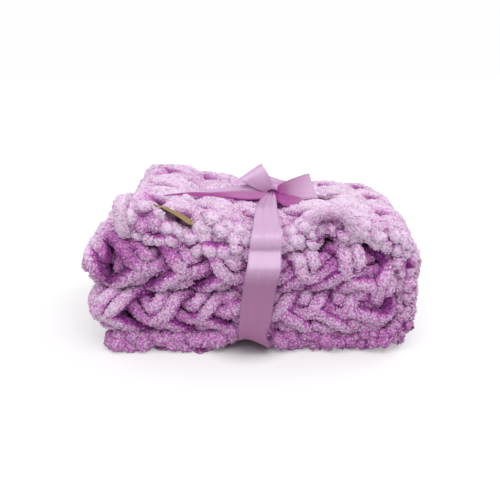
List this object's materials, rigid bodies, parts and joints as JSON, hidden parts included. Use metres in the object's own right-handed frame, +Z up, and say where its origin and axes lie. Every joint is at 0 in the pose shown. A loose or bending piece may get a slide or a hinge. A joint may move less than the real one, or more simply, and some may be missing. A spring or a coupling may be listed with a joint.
{
  "type": "stroller blanket",
  "caption": "Hand-knitted plush-yarn stroller blanket, folded in thirds and in half and tied with a satin ribbon bow.",
  "frame": {"origin": "on the floor under the middle of the pack's box", "axes": "+Z up, +X along the pack from its open ends to its half fold, -Y out of the side with the free edges"},
  "size_m": [0.4, 0.2689, 0.2094],
  "materials": {
    "plush_yarn": "fuzzy",
    "satin_ribbon": "satin",
    "suede_label": "matte"
  },
  "bodies": {
    "root": {"blanket": "plush_yarn", "ribbon": "satin_ribbon", "label": "suede_label"}
  },
  "joints": []
}
